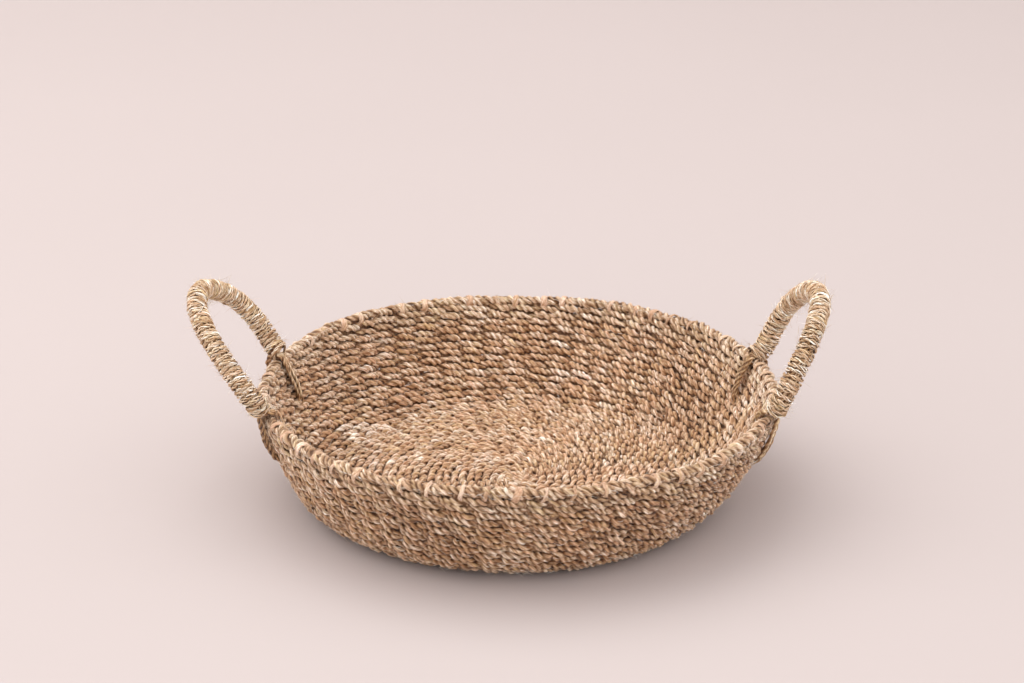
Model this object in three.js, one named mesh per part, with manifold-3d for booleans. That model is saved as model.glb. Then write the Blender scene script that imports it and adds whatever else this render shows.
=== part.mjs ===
// Woven fruit basket: a shallow round bowl of twined cord with a stitched border and two wrapped
// rope handles. Millimetres, +Z up. The origin is the centre of the flat base's underside, and the
// handles stand at -X and +X.
import * as THREE from 'three';
import { mergeVertices } from 'three/addons/utils/BufferGeometryUtils.js';
import Module from 'manifold-3d';

// Bowl
const BASE_RADIUS = 100; // flat underside that rests on the table
const WEAVE = 8; // two cords with a stake between them
const OUTER_TOP = { r: 142.6, z: 58.6 }; // where the wall's outer face meets the rounded crest
const FLARE_LOW = { r: 115.7, z: 0 }; // the wall leaves the base level
const FLARE_HIGH = { r: 137, z: 34 }; // and rises almost upright at the border
const SIDING_FROM = 0.44; // share of the wall's curve in the upsett, the courses that turn the stakes up
const BORDER_FROM = 0.86; // share of the wall's curve below the border
const CREST_HEIGHT = OUTER_TOP.z + WEAVE * 0.6;
const RIM_SHIFT = 2; // hand weaving left the rim this far towards +X of the base
const RIM_OVAL = 0.01; // and this share narrower along X
const GAP = 0.3;
const SEGMENTS = 60; // one facet for each stake

// Handles: a wrapped bundle of strands that stands on the border and straddles the wall with an
// inner and an outer leg at each foot
const FOOT_Y = 42; // half the distance between a handle's two feet
const FOOT_OUT = 3; // the feet stand this far outside the crest
const FOOT_LIFT = 5.2; // centre of a foot's bend above the crest
const FOOT_RADIUS = 4.9;
const CORE_RADIUS = 4.1;
const WRAP_RADIUS = 5.5;
const WRAP_FROM = 6; // bare length of the bundle at each foot
const LEG_WIDTH = 9;
const LEG_THICKNESS = 4;
const LEG_LENGTH = 30;
const LEG_GAP = 0.4;
const CORE_SIDES = 12;
const TUBE_STEPS = 36;
const PATH_POINTS = 24;
const HANDLES = [
  { name: 'left', side: -1, lean: 37.7, height: 58, spread: 9, shoulder: 30 },
  { name: 'right', side: 1, lean: 29, height: 53, spread: 8, shoulder: 29 },
];

const COLOURS = {
  base: 0xa98466,
  wall: 0xb48f70,
  border: 0xcbb08c,
  core: 0xb08a66,
  wrap: 0xc0a07c,
  leg: 0xa88760,
};

function straw(colour) {
  return new THREE.MeshStandardMaterial({ color: colour, roughness: 0.85, metalness: 0 });
}

const wasm = await Module();
wasm.setup();

function solid(geometry) {
  const bare = geometry.clone();
  bare.deleteAttribute('normal');
  bare.deleteAttribute('uv');
  const merged = mergeVertices(bare, 1e-3);
  return new wasm.Manifold(new wasm.Mesh({
    numProp: 3,
    vertProperties: merged.attributes.position.array,
    triVerts: new Uint32Array(merged.index.array),
  }));
}

function geometryOf(manifold) {
  const mesh = manifold.getMesh();
  const geometry = new THREE.BufferGeometry();
  geometry.setAttribute('position', new THREE.BufferAttribute(mesh.vertProperties, 3));
  geometry.setIndex(new THREE.BufferAttribute(mesh.triVerts, 1));
  geometry.computeVertexNormals();
  return geometry;
}

function piece(name, geometry, colour) {
  const mesh = new THREE.Mesh(geometry, straw(colour));
  mesh.name = name;
  return mesh;
}

// The wall's outer face, from the table to the crest, as radius and height.
const outerFace = new THREE.CubicBezierCurve(
  new THREE.Vector2(BASE_RADIUS, 0),
  new THREE.Vector2(FLARE_LOW.r, FLARE_LOW.z),
  new THREE.Vector2(FLARE_HIGH.r, FLARE_HIGH.z),
  new THREE.Vector2(OUTER_TOP.r, OUTER_TOP.z),
);

const GAP_SHARE = GAP / outerFace.getLength();

// The point a share of the way up the outer face, moved inwards through the weave by depth.
function inWall(share, depth) {
  const point = outerFace.getPointAt(share);
  const along = outerFace.getTangentAt(share);
  return new THREE.Vector2(point.x - along.y * depth, point.y + along.x * depth);
}

function strip(from, to, depth, steps) {
  return Array.from({ length: steps + 1 }, (_, i) => inWall(from + ((to - from) * i) / steps, depth));
}

function handmadeX(x, z) {
  const up = Math.max(0, z) / CREST_HEIGHT;
  return x * (1 - RIM_OVAL * up) + RIM_SHIFT * up;
}

// Gives a round shape the basket's slight oval and its leaning rim.
function handmade(geometry) {
  const position = geometry.attributes.position;
  for (let i = 0; i < position.count; i += 1) {
    position.setX(i, handmadeX(position.getX(i), position.getZ(i)));
  }
  return geometry;
}

function turned(profile) {
  return handmade(new THREE.LatheGeometry(profile, SEGMENTS).rotateX(Math.PI / 2));
}

function baseWeave() {
  const edge = BASE_RADIUS - GAP;
  const profile = [[0, 0], [edge, 0], [edge, WEAVE], [0, WEAVE]].map(([r, z]) => new THREE.Vector2(r, z));
  return piece('base_weave', turned(profile), COLOURS.base);
}

// A band of the wall's courses between two shares of the way up.
function wallBand(name, from, to, steps) {
  const outside = strip(from, to, 0, steps);
  const inside = strip(from, to, WEAVE, steps).reverse();
  return piece(name, turned([...outside, ...inside, outside[0]]), COLOURS.wall);
}

function rimBorder() {
  const outside = strip(BORDER_FROM + GAP_SHARE, 1, 0, 2);
  const inside = strip(BORDER_FROM + GAP_SHARE, 1, WEAVE, 2).reverse();
  const along = outerFace.getTangentAt(1);
  const middle = inWall(1, WEAVE / 2);
  const crest = Array.from({ length: 5 }, (_, i) => {
    const angle = (Math.PI * (i + 1)) / 6;
    const across = Math.cos(angle) * WEAVE / 2;
    const up = Math.sin(angle) * WEAVE / 2;
    const r = middle.x + along.y * across + along.x * up;
    const z = middle.y - along.x * across + along.y * up;
    return new THREE.Vector2(r, z);
  });
  return piece('rim_border', turned([...outside, ...crest, ...inside, outside[0]]), COLOURS.border);
}

// A flat bundle of strands that lies on one face of the wall below a handle's foot.
function leg(handle, end, face) {
  const [near, far] = face === 'outer'
    ? [-LEG_GAP, -LEG_GAP - LEG_THICKNESS]
    : [WEAVE + LEG_GAP, WEAVE + LEG_GAP + LEG_THICKNESS];
  const from = 1 - LEG_LENGTH / outerFace.getLength();
  const outline = [...strip(from, 1, near, 5), ...strip(from, 1, far, 5).reverse()];
  const geometry = new THREE.ExtrudeGeometry(new THREE.Shape(outline), {
    depth: LEG_WIDTH,
    bevelEnabled: false,
  });
  const foot = Math.asin(FOOT_Y / inWall(1, WEAVE / 2).x) * (end === 'front' ? -1 : 1);
  geometry.translate(0, 0, -LEG_WIDTH / 2).rotateX(Math.PI / 2);
  geometry.rotateZ(handle.side > 0 ? foot : Math.PI - foot);
  return piece(`${handle.name}_${end}_${face}_leg`, handmade(geometry), COLOURS.leg);
}

// The middle line of a handle, from its front foot over the top to its back foot, in its own upright plane.
function arch({ height, spread, shoulder }) {
  const half = (sign) => [
    new THREE.Vector3(0, sign * FOOT_Y, 0),
    new THREE.Vector3(0, sign * (FOOT_Y + spread), height * 0.5),
    new THREE.Vector3(0, sign * shoulder, height),
    new THREE.Vector3(0, 0, height),
  ];
  const path = new THREE.CurvePath();
  path.add(new THREE.CubicBezierCurve3(...half(-1)));
  path.add(new THREE.CubicBezierCurve3(...half(1).reverse()));
  return path;
}

// The part of a path between two lengths from its start, as one smooth curve.
function stretch(path, from, to) {
  const length = path.getLength();
  const along = (i) => path.getPointAt((from + ((to - from) * i) / PATH_POINTS) / length);
  return new THREE.CatmullRomCurve3(Array.from({ length: PATH_POINTS + 1 }, (_, i) => along(i)));
}

function tube(section, path) {
  return new THREE.ExtrudeGeometry(section, { steps: TUBE_STEPS, extrudePath: path, bevelEnabled: false });
}

function round(radius, sides) {
  return Array.from({ length: sides }, (_, i) => {
    const angle = (2 * Math.PI * i) / sides;
    return new THREE.Vector2(radius * Math.cos(angle), radius * Math.sin(angle));
  });
}

function handleCore(handle, path) {
  const length = path.getLength();
  let core = solid(tube(new THREE.Shape(round(CORE_RADIUS, CORE_SIDES)), stretch(path, 0, length)));
  for (const end of [-1, 1]) {
    const bend = new THREE.SphereGeometry(FOOT_RADIUS, CORE_SIDES, 8).translate(0, end * FOOT_Y, 0);
    core = core.add(solid(bend));
  }
  return piece(`${handle.name}_handle_core`, geometryOf(core), COLOURS.core);
}

function handleWrap(handle, path) {
  const section = new THREE.Shape(round(WRAP_RADIUS, CORE_SIDES));
  section.holes.push(new THREE.Path(round(CORE_RADIUS + GAP, CORE_SIDES)));
  const covered = stretch(path, WRAP_FROM, path.getLength() - WRAP_FROM);
  return piece(`${handle.name}_handle_wrap`, tube(section, covered), COLOURS.wrap);
}

// A handle's loop, leaning outwards from its two feet on the border.
function handleLoop(handle) {
  const crest = Math.sqrt(inWall(1, WEAVE / 2).x ** 2 - FOOT_Y ** 2);
  const group = new THREE.Group();
  const footX = handmadeX(handle.side * crest, CREST_HEIGHT) + handle.side * FOOT_OUT;
  group.position.set(footX, 0, CREST_HEIGHT + FOOT_LIFT);
  group.rotation.y = handle.side * THREE.MathUtils.degToRad(handle.lean);
  const path = arch(handle);
  group.add(handleCore(handle, path), handleWrap(handle, path));
  return group;
}

const basket = new THREE.Group();
basket.add(
  baseWeave(),
  wallBand('upsett_weave', 0, SIDING_FROM, 6),
  wallBand('siding_weave', SIDING_FROM + GAP_SHARE, BORDER_FROM, 5),
  rimBorder(),
);
for (const handle of HANDLES) {
  basket.add(handleLoop(handle));
  for (const end of ['front', 'back']) {
    for (const face of ['outer', 'inner']) basket.add(leg(handle, end, face));
  }
}

export default basket;
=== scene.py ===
"""Woven fruit basket: a bowl of twined cord with a stitched border and two wrapped handles."""

import math

import bpy
import numpy as np
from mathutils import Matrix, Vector


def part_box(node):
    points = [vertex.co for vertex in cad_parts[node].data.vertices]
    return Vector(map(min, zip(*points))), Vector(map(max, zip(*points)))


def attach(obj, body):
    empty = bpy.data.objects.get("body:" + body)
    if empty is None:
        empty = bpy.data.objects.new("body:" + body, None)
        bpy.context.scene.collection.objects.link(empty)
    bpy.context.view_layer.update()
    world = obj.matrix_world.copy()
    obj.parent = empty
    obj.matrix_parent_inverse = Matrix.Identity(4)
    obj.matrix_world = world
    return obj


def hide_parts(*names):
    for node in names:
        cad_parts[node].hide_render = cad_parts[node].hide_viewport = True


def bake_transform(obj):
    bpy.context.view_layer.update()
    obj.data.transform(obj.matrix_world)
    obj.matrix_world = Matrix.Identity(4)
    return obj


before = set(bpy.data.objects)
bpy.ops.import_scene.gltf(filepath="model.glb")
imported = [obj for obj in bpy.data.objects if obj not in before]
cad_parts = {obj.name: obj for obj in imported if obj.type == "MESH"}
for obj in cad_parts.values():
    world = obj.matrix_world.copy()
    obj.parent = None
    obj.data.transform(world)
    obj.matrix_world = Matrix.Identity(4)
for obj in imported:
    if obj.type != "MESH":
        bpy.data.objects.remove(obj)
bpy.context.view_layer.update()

MM = 0.001
TURN = 2 * math.pi
rng = np.random.default_rng(7)

# The bowl, in millimetres, as in the CAD. The weave's middle surface is half a weave inside the
# wall's outer face. Lengths along it, called s, start at the centre of the base.
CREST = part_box("rim_border")[1][2] / MM
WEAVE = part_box("base_weave")[1][2] / MM
BASE_RADIUS = 100.0
OUTER_FACE = ((BASE_RADIUS, 0.0), (115.7, 0.0), (137.0, 34.0), (142.6, 58.6))
RIM_SHIFT = 2.0
RIM_OVAL = 0.01
SIDING_FROM = 0.44  # share of the wall's curve in the upsett, the courses that turn the stakes up
BORDER_FROM = 0.86  # share of the wall's curve below the border
EVEN_TO = 60.0  # the courses lie evenly as far out as this, and sway beyond it
BELLY = math.radians(222)  # the side on which the lower wall bulges most
BELLY_S = 118.0
BELLY_REACH = 17.0

# Weave: each course is two cords that twist round the stakes and each other
STAKES = 60
STAKES_LEFT = ((62, 60), (28, 30), (13, 16), (0, 8))  # how many a course beyond each s passes
STAKE_SPACING = 13.0  # where the stakes stand closer than this, the cords cross less
PITCH = 4.3  # from one course to the next
INNERMOST = 7.0  # the courses stop at the knot of stakes
CORD = 1.95  # cord radius
TOP_CORD = 2.3  # the border ends in a thicker course
CROSS = 0.95  # how far the cords of a course pass above and below its middle
PLY_PITCH = 8.4  # one turn of a cord's two plies
PLY_RADIUS = 0.65  # as a share of the cord's radius
PLY_REACH = 0.375  # from the cord's centre to a ply's, as the same share
ROUGHNESS = 0.09  # broken fibres, as a share of the radius
CORD_SIDES = 12
CORD_STEP = 0.95  # from one ring of a course's mesh to the next
ON_FLOOR = 0.05  # cords press flat just above the table
CONTACT_SHADE = 0.7  # painted shade where a cord lies against its neighbours
STAKE_RADIUS = 0.9
STAKE_WIDTH = 12.4  # flat stakes, which close the gaps between the cords; their near-black colour is painted shade for those gaps
KNOT_HALF = 9.5  # half the width of the knot of stakes at the base's centre
KNOT_Z = 4.0  # its middle, between its two layers
STITCH = (  # over the border, as (s from the border, n, how far it has slanted)
    (-3.6, 0.6, -1.0), (-2.2, 2.8, -0.8), (0.0, 3.3, -0.4), (1.9, 2.5, 0.0), (2.75, 0.0, 0.1),
    (1.9, -2.5, 0.3), (0.0, -3.55, 0.6), (-2.2, -2.9, 0.8), (-3.6, -0.6, 1.0))
HAIR_SIDES = 4
HAIR_STEPS = 7
WEAVE_HAIRS = 3200

# Handles: each loop's middle line from the front foot to the back one as (out, y, up), in a plane
# that leans from the line through its feet. out is how far the loop bows out of that plane.
FOOT_Y = 42.0
FOOT_Z = CREST + 5.2
FOOT_OUT = 3.0
CREST_RADIUS = 138.7
BUNDLE_RADIUS = 2.9  # from the bundle's middle to its strands
BUNDLE_STEP = 0.9  # from one ring of a strand's mesh to the next
STRANDS = (-1.2, -0.6, 0.0, 0.6, 1.2)  # side by side on each face of the wall
BARE = 27.0  # length of a strand outside the wrap at each end, where it is thinner
WRAP_RADIUS = 5.6
WRAP_PITCH = 2.6
WRAP_STALKS = 3  # twisted together into the strand
WRAP_TURN_STEPS = 30
WRAP_TWIST = 3.3  # turns of the stalks round each other in one turn round the bundle
HANDLE_HAIRS = 450
HANDLES = {
    "left": {"side": -1, "lean": 37.7, "loop": (
        (3.9, -44, -4), (2.2, -46.4, 2), (1.5, -47.3, 10), (1.6, -44.5, 20), (2.0, -40, 30),
        (2.0, -34.5, 40), (2.0, -27, 49), (1.8, -15, 56.3), (0.8, 1, 58.3), (0.4, 17, 53),
        (0.1, 31, 43.5), (0, 41, 31), (0.1, 42.8, 17), (1.0, 40.2, 4), (0.9, 37.7, -3.0),
        (-1.0, 36.8, -6.0))},
    "right": {"side": 1, "lean": 29.0, "loop": (
        (3.3, -44, -4.4), (1.7, -47.5, 4), (1.0, -48.5, 12), (0, -46, 24), (-0.1, -40.5, 35.5),
        (0, -31.5, 45.5), (0.5, -18, 52), (0, -3, 53.2), (0, 11, 49.5), (0.2, 23, 42),
        (0.2, 33, 30.5), (1.2, 37.5, 16), (2.4, 38, 3), (1.4, 37.2, -2.8), (-1.6, 36.0, -7.4))},
}


# ---- Curves ----

def bezier(points, t):
    """Points of a cubic Bezier curve at the shares t."""
    p0, p1, p2, p3 = (np.asarray(p, float) for p in points)
    t = np.asarray(t, float)[:, None]
    return (1 - t) ** 3 * p0 + 3 * t * (1 - t) ** 2 * p1 + 3 * t * t * (1 - t) * p2 + t ** 3 * p3


def lengths(points):
    """Length from the start to each point of a polyline."""
    return np.r_[0.0, np.cumsum(np.linalg.norm(np.diff(points, axis=0), axis=1))]


def resampled(points, count):
    """count points evenly spaced along a polyline."""
    along = lengths(points)
    at = np.linspace(0, along[-1], count)
    return np.stack([np.interp(at, along, points[:, k]) for k in range(points.shape[1])], 1)


def smooth_path(knots, step):
    """A Catmull-Rom curve through knots, as points about step apart."""
    k = np.asarray(knots, float)
    k = np.concatenate([[2 * k[0] - k[1]], k, [2 * k[-1] - k[-2]]])
    t = np.linspace(0, 1, 12, endpoint=False)[:, None]
    spans = [0.5 * (2 * b + (c - a) * t + (2 * a - 5 * b + 4 * c - d) * t ** 2
                    + (3 * b - a - 3 * c + d) * t ** 3)
             for a, b, c, d in zip(k[:-3], k[1:-2], k[2:-1], k[3:])]
    line = np.concatenate([*spans, k[-2:-1]])
    return resampled(line, max(4, int(lengths(line)[-1] / step) + 1))


def unit(vectors):
    return vectors / np.linalg.norm(vectors, axis=-1, keepdims=True)


def eased(values, at):
    """Values at 0, 1, 2... round a closed ring, joined by smooth steps, at the places at."""
    k = np.floor(at).astype(int)
    f = at - k
    f = f * f * (3 - 2 * f)
    n = len(values)
    return values[k % n] * (1 - f) + values[(k + 1) % n] * f


def drift(t, bumps, amount):
    """Smooth random values along an open strand, where t runs from 0 to 1."""
    return amount * eased(rng.normal(size=bumps + 3), t * bumps + 0.5)


# ---- The weave's surface ----

def middle_line():
    """The weave's middle line from the base's centre to above the border: the length to each point,
    the points, their normals and the length to the border."""
    flat, rising, beyond = 50, 400, 16
    outer = bezier(OUTER_FACE, np.linspace(0, 1, rising))
    along = unit(np.gradient(outer, axis=0))
    normal = np.stack([along[:, 1], -along[:, 0]], 1)
    wall = outer - normal * WEAVE / 2
    base = np.stack([
        np.linspace(0, BASE_RADIUS, flat, endpoint=False), np.full(flat, WEAVE / 2)], 1)
    above = wall[-1] + along[-1] * np.linspace(1, beyond, beyond)[:, None]
    line = np.concatenate([base, wall, above])
    normals = np.concatenate([
        np.tile([0.0, -1.0], (flat, 1)), normal, np.tile(normal[-1], (beyond, 1))])
    s = lengths(line)
    return s, line, normals, s[flat + rising - 1]


LINE_S, LINE, NORMALS, BORDER_S = middle_line()


def surface(s, theta, n):
    """The point s along the middle line, at the angle theta, n outside the middle surface."""
    s, theta, n = np.broadcast_arrays(*(np.asarray(v, float) for v in (s, theta, n)))
    up = np.clip((s - EVEN_TO) / (BORDER_S - EVEN_TO), 0, 1)
    s = s + up * (0.7 * np.sin(3 * theta + 1.1) + 0.5 * np.sin(5 * theta + 2.9)
                  + 0.3 * np.sin(11 * theta + 0.04 * s))
    n = n + up * (0.5 * np.sin(4 * theta + 0.05 * s + 0.7)
                  + 0.35 * np.sin(9 * theta - 0.07 * s + 2.0))
    n = n + (1.2 + 1.3 * np.cos(theta - BELLY)) * np.exp(-((s - BELLY_S) / BELLY_REACH) ** 2)
    r, z, nr, nz = (np.interp(s, LINE_S, column) for column in (*LINE.T, *NORMALS.T))
    r = r + n * nr
    z = z + n * nz
    lift = np.clip(z / CREST, 0, 1.1)
    x = r * np.cos(theta) * (1 - RIM_OVAL * lift) + RIM_SHIFT * lift
    return np.stack([x, r * np.sin(theta), z], -1)


def outward(s, theta):
    return unit(surface(s, theta, 1.0) - surface(s, theta, 0.0))


STAKE_WANDER = rng.uniform(-0.14, 0.14, (3, STAKES))


def cell(theta, s, stakes):
    """Where the angle theta lies among the stakes, which stand at whole numbers and wander a little
    as they rise."""
    at = theta * STAKES / TURN
    up = s / BORDER_S * 2
    low = int(min(up, 1.999))
    wander = eased(STAKE_WANDER[low] * (low + 1 - up) + STAKE_WANDER[low + 1] * (up - low), at)
    return (at + wander) * stakes / STAKES


# ---- Meshes ----

def outline(angle, plies):
    """Radius of a cord's section: one flat stalk, or two round plies pressed together."""
    if plies == 1:
        return 1 + 0.05 * np.cos(5 * angle) + 0.03 * np.cos(9 * angle + 1)
    fold = TURN / plies
    a = (angle + fold / 2) % fold - fold / 2
    return PLY_REACH * np.cos(a) + np.sqrt(PLY_RADIUS ** 2 - (PLY_REACH * np.sin(a)) ** 2)


class Shape:
    """Cords gathered into one mesh, each vertex with its tint and its painted shade, which grows
    with how deep it lies between the plies and where it is hidden.
    """

    def __init__(self):
        self.points, self.quads, self.uvs, self.tints, self.grooves = [], [], [], [], []
        self.count = 0

    def cord(self, line, normal, tall, wide, turns, plies=2, sides=CORD_SIDES, tint=0.0, sunk=0.0,
             uneven=0.0, facing=1.0, contact=CONTACT_SHADE, closed=False):
        """Sweeps a cord's section along line. tall is its radius along normal and wide its radius
        across, and its plies make the given number of turns on the way, unevenly. Its colour is
        darkened with painted shade in the furrows between plies, by sunk where it dips into the
        weave, and by contact
        where it lies against its neighbours: facing is 1 where the side that normal points to lies
        open,
        -1 where the other side does."""
        steps = len(line)
        if closed:
            along = lengths(np.concatenate([line, line[:1]]))
            tangent = unit(np.roll(line, -1, 0) - np.roll(line, 1, 0))
        else:
            along = lengths(line)
            tangent = unit(np.gradient(line, axis=0))
        normal = unit(normal - (normal * tangent).sum(1)[:, None] * tangent)
        across = np.cross(tangent, normal)
        alpha = TURN * np.arange(sides) / sides
        spin = TURN * turns * along / along[-1]
        rho = outline(alpha[None] - (spin[:steps] + uneven)[:, None], plies)
        if sides > HAIR_SIDES:
            rough = rng.normal(0, ROUGHNESS, (steps, sides))
            rough = rough + np.roll(rough, 1, 0)
            rho = rho * (1 + (rough + np.roll(rough, 1, 1)) / 2)
        tall, wide = (np.broadcast_to(v, steps)[:, None] for v in (tall, wide))
        rings = (line[:, None] + (rho * tall * np.cos(alpha))[..., None] * normal[:, None]
                 + (rho * wide * np.sin(alpha))[..., None] * across[:, None])
        rings[..., 2] = np.maximum(rings[..., 2], ON_FLOOR)
        around = alpha[None] / TURN - 0.5 * spin[:, None] / TURN
        at = self.count + np.arange(steps * sides).reshape(steps, sides)
        last = steps if closed else steps - 1
        i, j = np.arange(last)[:, None], np.arange(sides)[None]
        i2, j2 = (i + 1) % steps, (j + 1) % sides
        self.quads.append(np.stack([at[i, j], at[i, j2], at[i2, j2], at[i2, j]], -1).reshape(-1, 4))
        turn = (j2 == 0) * 1.0
        u, u2 = (np.broadcast_to(along[k:last + k, None], (last, sides)) for k in (0, 1))
        corners = [(u, around[i, j]), (u, around[i, j2] + turn),
                   (u2, around[i + 1, j2] + turn), (u2, around[i + 1, j])]
        self.uvs.append(np.stack([np.stack(c, -1) for c in corners], 2).reshape(-1, 2))
        self.points.append(rings.reshape(-1, 3))
        self.tints.append(np.repeat(np.broadcast_to(tint, steps), sides))
        sunk, facing = (np.broadcast_to(v, steps)[:, None] for v in (sunk, facing))
        # Painted shade: the furrows between plies, sunk and the side that lies against neighbouring
        # cords darken the colour.
        touch_shade = contact * np.clip(0.45 - facing * np.cos(alpha), 0, 1)
        self.grooves.append(np.clip((1.02 - rho) / 0.48 + sunk + touch_shade, 0, 1.3).ravel())
        self.count += steps * sides
        if not closed:
            for ring in (at[0][::-1], at[-1]):
                k = np.arange(sides // 2 - 1)
                self.quads.append(np.stack(
                    [ring[k], ring[k + 1], ring[sides - 2 - k], ring[sides - 1 - k]], -1))
                self.uvs.append(np.tile([[0.0, 0.5]], (4 * len(k), 1)))

    def piece(self, name, material, body, slot):
        """Makes the mesh object, in metres, riding on body unless body is None."""
        quads = np.concatenate(self.quads)
        mesh = bpy.data.meshes.new(name)
        mesh.vertices.add(self.count)
        places = (np.concatenate(self.points) * MM).astype(np.float32)
        mesh.vertices.foreach_set("co", places.ravel())
        mesh.loops.add(quads.size)
        mesh.loops.foreach_set("vertex_index", quads.astype(np.int32).ravel())
        mesh.polygons.add(len(quads))
        mesh.polygons.foreach_set("loop_start", np.arange(0, quads.size, 4, dtype=np.int32))
        mesh.update(calc_edges=True)
        mesh.shade_smooth()
        uvs = np.concatenate(self.uvs).astype(np.float32)
        mesh.uv_layers.new(name="cord").data.foreach_set("uv", uvs.ravel())
        for label, values in (("tint", self.tints), ("painted_shade", self.grooves)):
            mesh.attributes.new(label, "FLOAT", "POINT").data.foreach_set(
                "value", np.concatenate(values).astype(np.float32))
        mesh.materials.append(material)
        made = bpy.data.objects.new(name, mesh)
        bpy.context.scene.collection.objects.link(made)
        if body:
            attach(made, body)
        return made


# ---- Materials ----

def nodes_of(material):
    material.use_nodes = True
    tree = material.node_tree
    return tree, tree.nodes["Principled BSDF"]


def maths(tree, operation, *inputs):
    node = tree.nodes.new("ShaderNodeMath")
    node.operation = operation
    for socket, value in zip(node.inputs, inputs):
        if isinstance(value, (int, float)):
            socket.default_value = value
        else:
            tree.links.new(value, socket)
    return node.outputs[0]


def mixed(tree, share, a, b, blend="MIX"):
    node = tree.nodes.new("ShaderNodeMix")
    node.data_type, node.blend_type = "RGBA", blend
    for socket, value in ((node.inputs[0], share), (node.inputs[6], a), (node.inputs[7], b)):
        if isinstance(value, (int, float)):
            socket.default_value = value
        elif isinstance(value, tuple):
            socket.default_value = (*value, 1)
        else:
            tree.links.new(value, socket)
    return node.outputs[2]


def ramp(tree, value, low, high):
    node = tree.nodes.new("ShaderNodeMapRange")
    node.interpolation_type = "SMOOTHSTEP"
    node.inputs["From Min"].default_value = low
    node.inputs["From Max"].default_value = high
    tree.links.new(value, node.inputs["Value"])
    return node.outputs[0]


def noise(tree, vector, scale, detail=3.0, roughness=0.6):
    node = tree.nodes.new("ShaderNodeTexNoise")
    node.inputs["Scale"].default_value = scale
    node.inputs["Detail"].default_value = detail
    node.inputs["Roughness"].default_value = roughness
    tree.links.new(vector, node.inputs["Vector"])
    return node.outputs["Fac"]


def attribute(tree, name):
    node = tree.nodes.new("ShaderNodeAttribute")
    node.attribute_name = name
    return node.outputs["Fac"]


def straw(name, dark, mid, pale, girth=12.0, fibre=0.35):
    """Twisted plant fibre: streaks along the cord, some stalks pinker and some greener, and painted
    shade in the furrows and where cords dip or touch. girth is round the cord and fibre the width
    of a streak."""
    material = bpy.data.materials.new(name)
    tree, shader = nodes_of(material)
    uv = tree.nodes.new("ShaderNodeUVMap")
    uv.uv_map = "cord"
    parts = tree.nodes.new("ShaderNodeSeparateXYZ")
    tree.links.new(uv.outputs[0], parts.inputs[0])
    along = parts.outputs[0]
    angle = maths(tree, "MULTIPLY", parts.outputs[1], TURN)
    ring = girth / TURN
    place = tree.nodes.new("ShaderNodeCombineXYZ")
    tree.links.new(maths(tree, "MULTIPLY", maths(tree, "COSINE", angle), ring), place.inputs[0])
    tree.links.new(maths(tree, "MULTIPLY", maths(tree, "SINE", angle), ring), place.inputs[1])
    tree.links.new(maths(tree, "MULTIPLY", along, 0.09), place.inputs[2])
    where = tree.nodes.new("ShaderNodeTexCoord").outputs["Object"]
    shifted = tree.nodes.new("ShaderNodeVectorMath")
    shifted.operation = "MULTIPLY_ADD"
    tree.links.new(where, shifted.inputs[0])
    shifted.inputs[1].default_value = (40, 40, 40)
    tree.links.new(place.outputs[0], shifted.inputs[2])
    fibres = noise(tree, shifted.outputs[0], 1 / fibre, 3.0, 0.65)
    stalks = noise(tree, shifted.outputs[0], 0.45, 2.0)
    patches = noise(tree, where, 28.0, 3.0)
    specks = noise(tree, where, 420.0, 2.0)
    tint = attribute(tree, "tint")
    painted_shade = attribute(tree, "painted_shade")
    colour = mixed(tree, ramp(tree, fibres, 0.36, 0.62), dark, mid)
    bleached = maths(tree, "ADD", fibres, maths(tree, "MULTIPLY", tint, 0.10))
    colour = mixed(tree, ramp(tree, bleached, 0.48, 0.72), colour, pale)
    pink = (mid[0] * 1.04, mid[1] * 0.86, mid[2] * 0.84)
    green = (mid[0] * 0.92, mid[1] * 0.98, mid[2] * 0.74)
    pinker = maths(tree, "MULTIPLY", ramp(tree, stalks, 0.50, 0.72), 0.30)
    greener = maths(tree, "MULTIPLY", ramp(tree, stalks, 0.50, 0.30), 0.40)
    colour = mixed(tree, pinker, colour, pink)
    colour = mixed(tree, greener, colour, green)
    patches, specks = maths(tree, "MULTIPLY", patches, 0.50), maths(tree, "MULTIPLY", specks, 0.34)
    shade = maths(tree, "ADD", patches, specks)
    shade = maths(tree, "ADD", shade, maths(tree, "MULTIPLY", tint, 0.16))
    shade = maths(tree, "ADD", shade, 0.72)
    # Painted shade from the mesh attribute darkens the colour; patches, specks and tint are the
    # straw's own random tone.
    shade_darkening = maths(tree, "MULTIPLY", maths(tree, "POWER", painted_shade, 1.25), 0.70)
    shade = maths(tree, "SUBTRACT", shade, shade_darkening)
    shade = maths(tree, "MAXIMUM", shade, 0.06)
    grey = tree.nodes.new("ShaderNodeCombineColor")
    for socket, power in zip(grey.inputs, (1.0, 1.30, 1.7)):
        tree.links.new(maths(tree, "POWER", shade, power), socket)
    colour = mixed(tree, 1.0, colour, grey.outputs[0], "MULTIPLY")
    tree.links.new(colour, shader.inputs["Base Color"])
    tree.links.new(maths(tree, "MULTIPLY_ADD", fibres, 0.3, 0.50), shader.inputs["Roughness"])
    shader.inputs["Specular IOR Level"].default_value = 0.35
    shader.inputs["Sheen Weight"].default_value = 0.15
    shader.inputs["Sheen Roughness"].default_value = 0.5
    bump = tree.nodes.new("ShaderNodeBump")
    bump.inputs["Strength"].default_value = 1.0
    bump.inputs["Distance"].default_value = 0.45 * MM
    tree.links.new(fibres, bump.inputs["Height"])
    tree.links.new(bump.outputs[0], shader.inputs["Normal"])
    return material


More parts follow.
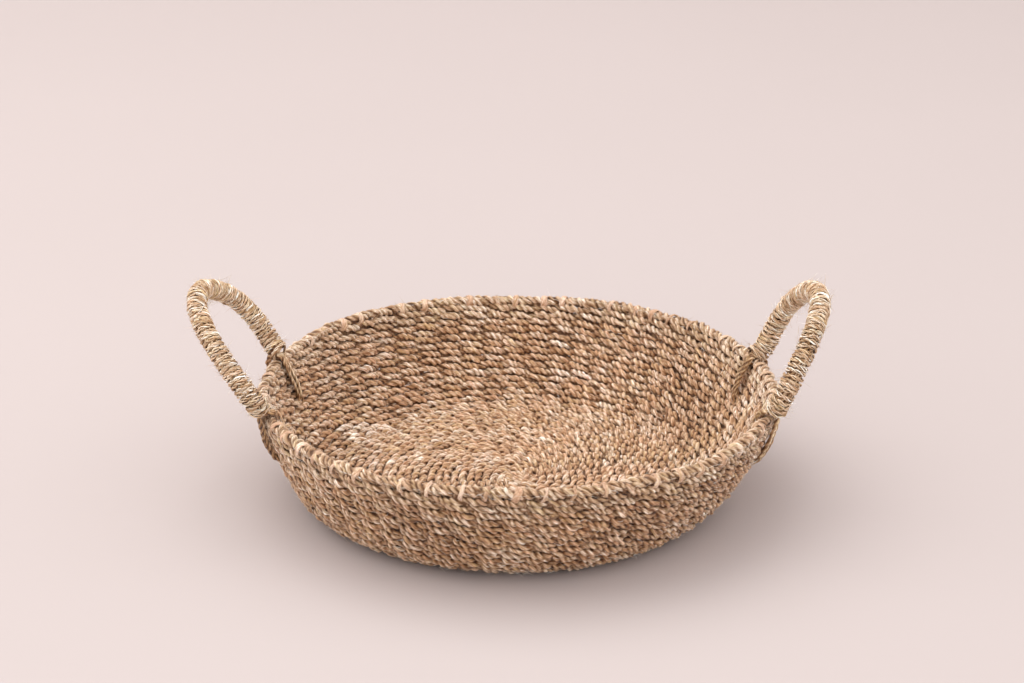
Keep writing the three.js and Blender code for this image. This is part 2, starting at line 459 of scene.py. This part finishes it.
WEAVE_STRAW = straw("weave_straw", (0.31, 0.130, 0.052), (0.79, 0.507, 0.294), (1.00, 0.94, 0.83))
BORDER_STRAW = straw("border_straw", (0.40, 0.215, 0.110), (0.84, 0.620, 0.430), (1.00, 0.95, 0.84))
# The stakes' near-black browns are painted shade for the dark gaps between the cords, not the
# straw's own colour.
STAKE_SHADE_STRAW = straw("stake_shade_straw", (0.12, 0.050, 0.022), (0.30, 0.170, 0.090), (0.45, 0.30, 0.19))
WRAP_STRAW = straw("wrap_straw", (0.48, 0.245, 0.110), (0.95, 0.710, 0.465), (1.00, 0.97, 0.86),
                   girth=3.4, fibre=0.24)
STITCH_STRAW = straw("stitch_straw", (0.42, 0.215, 0.115), (0.80, 0.545, 0.375), (0.97, 0.82, 0.66))
CORE_STRAW = straw("core_straw", (0.34, 0.165, 0.068), (0.74, 0.475, 0.265), (1.00, 0.85, 0.62),
                   girth=5.0, fibre=0.24)


# ---- Weave ----

def course(name, s, stakes, radius, material, slot):
    """One course of twining: two cords that pass before and behind each stake in turn."""
    shape = Shape()
    r = np.interp(s, LINE_S, LINE[:, 0])
    count = max(48, int(TURN * r / CORD_STEP))
    theta = TURN * np.arange(count) / count
    phase = (cell(theta, s, stakes) + rng.normal(0, 0.10)
             + eased(rng.normal(0, 0.10, stakes), theta * stakes / TURN))
    thick = radius > CORD
    reach = (WEAVE / 2 - radius * 0.98) * (0.72 if thick else 1)
    tight = min(1.0, TURN * r / stakes / STAKE_SPACING)
    lumps = count // 5
    lump = np.arange(count) * lumps / count
    for strand in (0, 1):
        k = phase + strand
        over = np.cos(math.pi * k)
        bold = eased(rng.normal(0, 0.11, stakes), phase + 0.5)
        n = reach * over * (1.25 - 0.25 * over ** 2) * (1 + bold)
        v = -CROSS * tight * np.sin(math.pi * k) + eased(rng.normal(0, 0.26, stakes), phase)
        line = surface(s + v, theta, n)
        fat = radius * (1 + eased(rng.normal(0, 0.08, stakes), phase + 0.5)
                        + eased(rng.normal(0, 0.05, lumps), lump))
        turns = round(lengths(line)[-1] * 2 / PLY_PITCH) / 2
        tint = eased(rng.normal(0, 0.34, stakes), phase + 0.5) + rng.normal(0, 0.15)
        twists = eased(rng.normal(0, 0.8, lumps), lump)
        # Painted shade: darker where the strands cross in the weave's middle, and on the wall's
        # outside, which stands in its own shade.
        sunk = 0.35 * (1 - np.abs(over)) ** 1.5 + 0.30 * np.clip(over, 0, 1)
        tall, wide = fat * (0.98 - 0.04 * np.abs(over)), fat * (0.91 + 0.16 * over ** 2)
        shape.cord(line, outward(s, theta), tall, wide, turns, tint=tint, sunk=sunk, uneven=twists,
                   facing=over, contact=CONTACT_SHADE * (0.5 if thick else 1), closed=True)
    return shape.piece(name, material, "bowl", slot)


def weave():
    """Every course from the border to the base's centre, where fewer stakes are left."""
    made = {"base_weave": [], "upsett_weave": [], "siding_weave": [], "rim_border": []}
    wall_s = np.interp([0.0, SIDING_FROM, BORDER_FROM], [0, 1], [BASE_RADIUS, BORDER_S])
    number = 0
    s = BORDER_S + 0.2
    while s > INNERMOST:
        left = next(count for beyond, count in STAKES_LEFT if s > beyond)
        part = ("base_weave" if s < wall_s[0] else "upsett_weave" if s < wall_s[1]
                else "siding_weave" if s < wall_s[2] else "rim_border")
        edge = part == "rim_border"
        made[part].append(course(
            f"course_{number:02d}", s, left, CORD if number else TOP_CORD,
            BORDER_STRAW if edge else WEAVE_STRAW, "border" if edge else "weave"))
        number += 1
        s -= PITCH
    return made


def stakes():
    """The radial stakes, which show in the gaps between cords and start from the cross at the
    base's centre.
    """
    shape = Shape()
    for k in range(STAKES):
        low = 60 if k % 2 else 27 if k % 4 else 3  # added as the base widens
        s = np.arange(low, BORDER_S + 1.5, 2.0)
        at = k - np.array([cell(np.array([TURN * k / STAKES]), v, STAKES)[0] - k for v in s])
        theta = TURN * at / STAKES
        r = np.interp(s, LINE_S, LINE[:, 0])
        wide = np.minimum(STAKE_WIDTH, 0.92 * TURN * r / (STAKES if k % 2 else STAKES / 2))
        shape.cord(surface(s, theta, drift(s / 200, 9, 0.15)), outward(s, theta), STAKE_RADIUS,
                   wide / 2, 1.5, plies=1, tint=rng.normal(0, 0.5))
    return shape.piece("stakes", STAKE_SHADE_STRAW, "bowl", "weave")


def base_cross():
    """The knot of stakes at the base's centre: two layers of three crossed cords."""
    shape = Shape()
    steps, radius = 20, 1.8
    for layer in (0, 1):
        for k in (-1, 0, 1):
            x = np.linspace(-KNOT_HALF, KNOT_HALF, steps)
            y = np.full(steps, 3.7 * k) + drift(x / (2 * KNOT_HALF) + 0.5, 3, 0.15)
            z = KNOT_Z + (2.0 if layer else -2.0) * np.cos(x / KNOT_HALF * 1.3)
            line = np.stack([x, y, z] if layer else [y, x, z], 1)
            up = np.tile([0.0, 0.0, 1.0], (steps, 1))
            shape.cord(line, up, radius, radius, 3, tint=rng.normal(0, 0.5))
    return shape.piece("base_cross", WEAVE_STRAW, "bowl", "weave")


def stitches():
    """Short stitches that hold the border's top course down, one at most stakes."""
    shape = Shape()
    for k in range(STAKES):
        if rng.random() < 0.3:
            continue
        theta0 = TURN * k / STAKES
        wander = theta0 * STAKES / TURN - cell(np.array([theta0]), BORDER_S, STAKES)[0]
        theta0 += TURN * wander / STAKES
        lean = rng.normal(0.010, 0.006)
        fat = rng.uniform(1.5, 2.1) if rng.random() < 0.55 else rng.uniform(0.8, 1.3)
        knots = []
        for s, n, shift in STITCH:
            up = BORDER_S + s * rng.uniform(0.94, 1.04)
            theta = theta0 + shift * lean + rng.normal(0, 0.001)
            knots.append(surface(up, theta, n))
        line = smooth_path(knots, 0.7)
        middle = surface(BORDER_S - 0.5, theta0, 0.0)
        shape.cord(line, line - middle, 0.55, fat, 1.2, plies=1, tint=rng.normal(-0.5, 0.6),
                   contact=0.3)
    return shape.piece("border_stitches", STITCH_STRAW, "bowl", "border")


# ---- Handles ----

class Handle:
    """One handle's loop and the frame it stands in."""

    def __init__(self, name, side, lean, loop):
        self.name, self.side, self.body = name, side, f"{name}_handle"
        crest = math.sqrt(CREST_RADIUS ** 2 - FOOT_Y ** 2)
        self.foot_x = side * (crest * (1 - RIM_OVAL) + FOOT_OUT) + RIM_SHIFT
        self.lean = math.radians(lean)
        self.feet = loop[0][1], loop[-1][1]
        self.flat = smooth_path([(side * out, y, z) for out, y, z in loop], 1.0)

    def place(self, points):
        """From the handle's upright plane to the basket's frame."""
        x = points[:, 0] * math.cos(self.lean) + self.side * points[:, 2] * math.sin(self.lean)
        z = points[:, 2] * math.cos(self.lean) - self.side * points[:, 0] * math.sin(self.lean)
        return np.stack([self.foot_x + x, points[:, 1], FOOT_Z + z], 1)

    def bent(self, shape, name, material, slot):
        made = shape.piece(name, material, None, slot)
        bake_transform(made)
        return made

    def frame_at(self, along):
        """Points, and two directions across, at lengths along the loop's middle line."""
        s = lengths(self.flat)
        line, tangent = (np.stack([np.interp(along, s, column) for column in values.T], 1)
                         for values in (self.flat, np.gradient(self.flat, axis=0)))
        tangent = unit(tangent)
        side = unit(np.array([1.0, 0.0, 0.0]) - tangent[:, :1] * tangent)
        return line, side, np.cross(tangent, side)

    def wrap(self):
        """A thin strand of twisted stalks, wound tightly and unevenly from foot to foot, and the
        loose hairs it sheds."""
        shape, fuzz = Shape(), Shape()
        total = lengths(self.flat)[-1]
        wound = total - 3
        turns = int(wound / WRAP_PITCH)
        steps = turns * WRAP_TURN_STEPS
        t = np.linspace(0, 1, steps)
        each = np.arange(turns + 3)
        pitch = np.cumsum(rng.uniform(0.8, 1.2, turns + 3))
        pitch = (pitch - pitch[0]) / np.interp(turns, each, pitch - pitch[0])
        spin = TURN * turns * t
        tilt = drift(t, turns, 0.25) + ((0.9 + drift(t, 8, 0.35))
                                        * np.cos(spin + 2 + drift(t, 5, 0.8)))
        for k in range(WRAP_STALKS):
            twist = WRAP_TWIST * spin + TURN * k / WRAP_STALKS + drift(t, turns * 2, 0.5)
            along = (1.5 + wound * np.interp(t * turns, each, pitch) + 0.68 * np.cos(twist) + tilt
                     + drift(t, turns * 3, 0.16))
            line, a, b = self.frame_at(along)
            radius = (WRAP_RADIUS - 0.80 + 0.5 * (2 * t - 1) ** 4
                      + eased(rng.normal(0, 0.12, turns + 3), t * turns)
                      + 0.32 * np.sin(twist) + drift(t, turns * 3, 0.12))
            out = np.cos(spin)[:, None] * a + np.sin(spin)[:, None] * b
            path = line + radius[:, None] * out
            path, out = self.place(path), self.place(path + out) - self.place(path)
            thick = 0.52 + drift(t, turns * 2, 0.06)
            # sunk paints shade where each stalk twists under the others.
            shape.cord(path, out, thick * 1.1, thick, steps * 0.02, sides=8,
                       sunk=0.45 * np.clip(0.2 - np.sin(twist), 0, 1),
                       tint=eased(rng.normal(0.1, 0.8, turns * 2), t * turns * 2))
            tangent = unit(np.gradient(path, axis=0))
            for i in rng.integers(0, steps, HANDLE_HAIRS // WRAP_STALKS):
                hair(fuzz, path[i] + 0.4 * out[i], tangent[i] * rng.choice((-1, 1)), out[i],
                     rng.uniform(2.0, 7.0))
        self.bent(fuzz, f"{self.name}_wrap_fuzz", WRAP_STRAW, "wrap")
        return self.bent(shape, f"{self.name}_wrap_strand", WRAP_STRAW, "wrap")

    def bundle(self):
        """The strands of the bundle, which leave the wrap at each foot and straddle the wall."""
        shape = Shape()
        strands = [(face, across) for face in ("outer", "inner") for across in STRANDS]
        _, a, b = self.frame_at(lengths(self.flat))
        for k, (face, across) in enumerate(strands):
            spin = TURN * k / len(strands)
            offset = BUNDLE_RADIUS * (math.cos(spin) * a + math.sin(spin) * b)
            middle = self.place(self.flat + offset)[4:-4:6]
            ends = [self.leg(end, face, across) for end in (-1, 1)]
            line = smooth_path(np.concatenate([ends[0], middle, ends[1][::-1]]), BUNDLE_STEP)
            t = np.linspace(0, 1, len(line))
            ring = np.arange(len(line))
            from_end = np.minimum(ring, ring[::-1]) * BUNDLE_STEP
            fat = rng.uniform(0.75, 1.05) + 0.45 * np.clip((from_end - BARE) / 8, 0, 1)
            bend = np.gradient(np.gradient(line, axis=0), axis=0) + [0.3, 0.1, 0.2]
            shape.cord(line, bend, fat * (1 + drift(t, 30, 0.08)), fat * 1.15, len(line) / 9,
                       sides=10, tint=rng.normal(0.2, 0.6))
        return self.bent(shape, f"{self.name}_bundle", CORE_STRAW, "core")

    def leg(self, end, face, across):
        """Knots of one strand from inside the weave up to the foot of the loop, where end is -1 for
        the front foot and 1 for the back one."""
        foot = self.feet[0] if end < 0 else self.feet[1]
        theta0 = math.asin(foot / CREST_RADIUS)
        theta0 = theta0 if self.side > 0 else math.pi - theta0
        drop = rng.uniform(19, 28)
        sign = 1 if face == "outer" else -1
        bow = rng.uniform(0.0, 2.4) if face == "outer" else rng.uniform(0.6, 2.6)
        if face == "inner" and end < 0:
            theta0 += self.side * rng.uniform(-5.0, -1.5) / CREST_RADIUS
        spread = across * (2.0 if face == "inner" and end > 0 else 1.5)
        slant = self.side * 4.5 if face == "inner" and end > 0 else 0.0
        knots = []
        for share, n in ((1.15, 0.3), (1.0, 2.4), (0.86, 4.1 + 0.4 * bow), (0.5, 4.4 + bow),
                         (0.2, 4.7 + 0.6 * bow)):
            shift = spread * (1.1 - 0.5 * share) + slant * share + rng.normal(0, 0.25)
            theta = theta0 + shift / CREST_RADIUS
            knots.append(surface(BORDER_S - drop * share, theta, sign * n))
        if face == "inner":
            knots.append(surface(BORDER_S + 3.4, theta0 + spread / CREST_RADIUS, -4.2))
            knots.append(surface(BORDER_S + 5.2, theta0 + 0.8 * spread / CREST_RADIUS, -1.0))
        else:
            knots.append(surface(BORDER_S + 2.0, theta0 + spread / CREST_RADIUS, 5.4))
        return np.array(knots)


def hair(shape, root, along, out, length):
    """One loose fibre that lifts off the straw and curls."""
    side = np.cross(along, out)
    lift, swing, curl = rng.uniform(0.15, 0.9), rng.normal(0, 0.5), rng.normal(0, 0.35)
    t = np.linspace(0, 1, HAIR_STEPS)[:, None]
    line = root + length * (t * along + lift * t ** 1.5 * out * 0.7 + swing * t ** 2 * side
                            + curl * t ** 3 * (out * 0.5 + side * 0.5))
    line[:, 2] = np.maximum(line[:, 2], 0.3)
    thick = rng.uniform(0.06, 0.12) * (1.15 - t[:, 0])
    shape.cord(line, np.tile(out, (HAIR_STEPS, 1)), thick, thick, 0, plies=1, sides=HAIR_SIDES,
               tint=rng.normal(0.8, 0.6))


def weave_fuzz():
    """Loose fibres all over the wall and thicker on the border."""
    shape = Shape()
    for k in range(WEAVE_HAIRS):
        theta = rng.uniform(0, TURN)
        s = BORDER_S + 1.5 if k % 4 == 0 else rng.uniform(96, BORDER_S)
        side = 1 if rng.random() < 0.6 else -1
        root = surface(s, theta, side * 3.5)
        out = outward(s, theta) * side
        along = unit(surface(s, theta + 0.01, side * 3.5) - root) * rng.choice((-1, 1))
        hair(shape, root, along, out, rng.uniform(1.5, 5.0))
    return shape.piece("weave_fuzz", BORDER_STRAW, "bowl", "weave")


def main_pieces():
    courses = weave()
    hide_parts("base_weave")
    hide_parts("upsett_weave")
    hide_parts("siding_weave")
    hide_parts("rim_border")
    stakes()
    base_cross()
    stitches()
    weave_fuzz()
    for name, sizes in HANDLES.items():
        handle = Handle(name, **sizes)
        wrap = handle.wrap()
        bundle = handle.bundle()
        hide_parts(f"{name}_handle_wrap")
        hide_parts(f"{name}_handle_core", *(
            f"{name}_{end}_{face}_leg" for end in ("front", "back") for face in ("outer", "inner")))


main_pieces()


# ---- Stage ----

def stage():
    """A pale sweep of paper under and behind the basket, a large soft light from the left, a weak
    one from the right and the camera."""
    scene = bpy.context.scene
    paper = bpy.data.materials.new("paper")
    tree, shader = nodes_of(paper)
    where = tree.nodes.new("ShaderNodeTexCoord").outputs["Object"]
    cloudy = noise(tree, where, 1.6, 2.0)
    colour = mixed(tree, cloudy, (0.492, 0.430, 0.418), (0.522, 0.457, 0.446))
    tree.links.new(colour, shader.inputs["Base Color"])
    shader.inputs["Roughness"].default_value = 0.7
    back, bend, width = 1.4, 0.8, 5.0
    curve = [(back + bend * math.sin(a), bend - bend * math.cos(a))
             for a in np.linspace(0.1, math.pi / 2, 12)]
    profile = [(-5.0, 0.0), (back, 0.0), *curve, (back + bend, 2.6)]
    points = [(x, y, z) for y, z in profile for x in (-width, width)]
    faces = [(2 * k, 2 * k + 1, 2 * k + 3, 2 * k + 2) for k in range(len(profile) - 1)]
    mesh = bpy.data.meshes.new("sweep")
    mesh.from_pydata(points, [], faces)
    mesh.shade_smooth()
    mesh.materials.append(paper)
    sweep = bpy.data.objects.new("sweep", mesh)
    scene.collection.objects.link(sweep)

    world = bpy.data.worlds.new("room")
    world.use_nodes = True
    sky = world.node_tree.nodes["Background"]
    sky.inputs["Color"].default_value = (1.0, 0.98, 0.97, 1)
    sky.inputs["Strength"].default_value = 1.43
    scene.world = world

    lights = (("key", (-1.05, 0.40, 1.95), 2.4, 26.0), ("fill", (1.1, -0.7, 1.9), 1.4, 2.0))
    for label, place, size, power in lights:
        light = bpy.data.lights.new(label, "AREA")
        light.size, light.energy, light.color = size, power, (1.0, 0.975, 0.95)
        lamp = bpy.data.objects.new(label, light)
        lamp.location = place
        lamp.rotation_mode = "QUATERNION"
        lamp.rotation_quaternion = (Vector((0, 0, 0.03)) - Vector(place)).to_track_quat("-Z", "Y")
        scene.collection.objects.link(lamp)

    camera = bpy.data.cameras.new("camera")
    camera.lens, camera.sensor_width = 90.95, 36.0
    eye = bpy.data.objects.new("camera", camera)
    eye.location = (0.0, -1.2960, 0.5929)
    eye.rotation_euler = (math.radians(90 - 21.34), 0, math.radians(0.05))
    scene.collection.objects.link(eye)
    scene.camera = eye
    scene.view_settings.view_transform = "Standard"


stage()
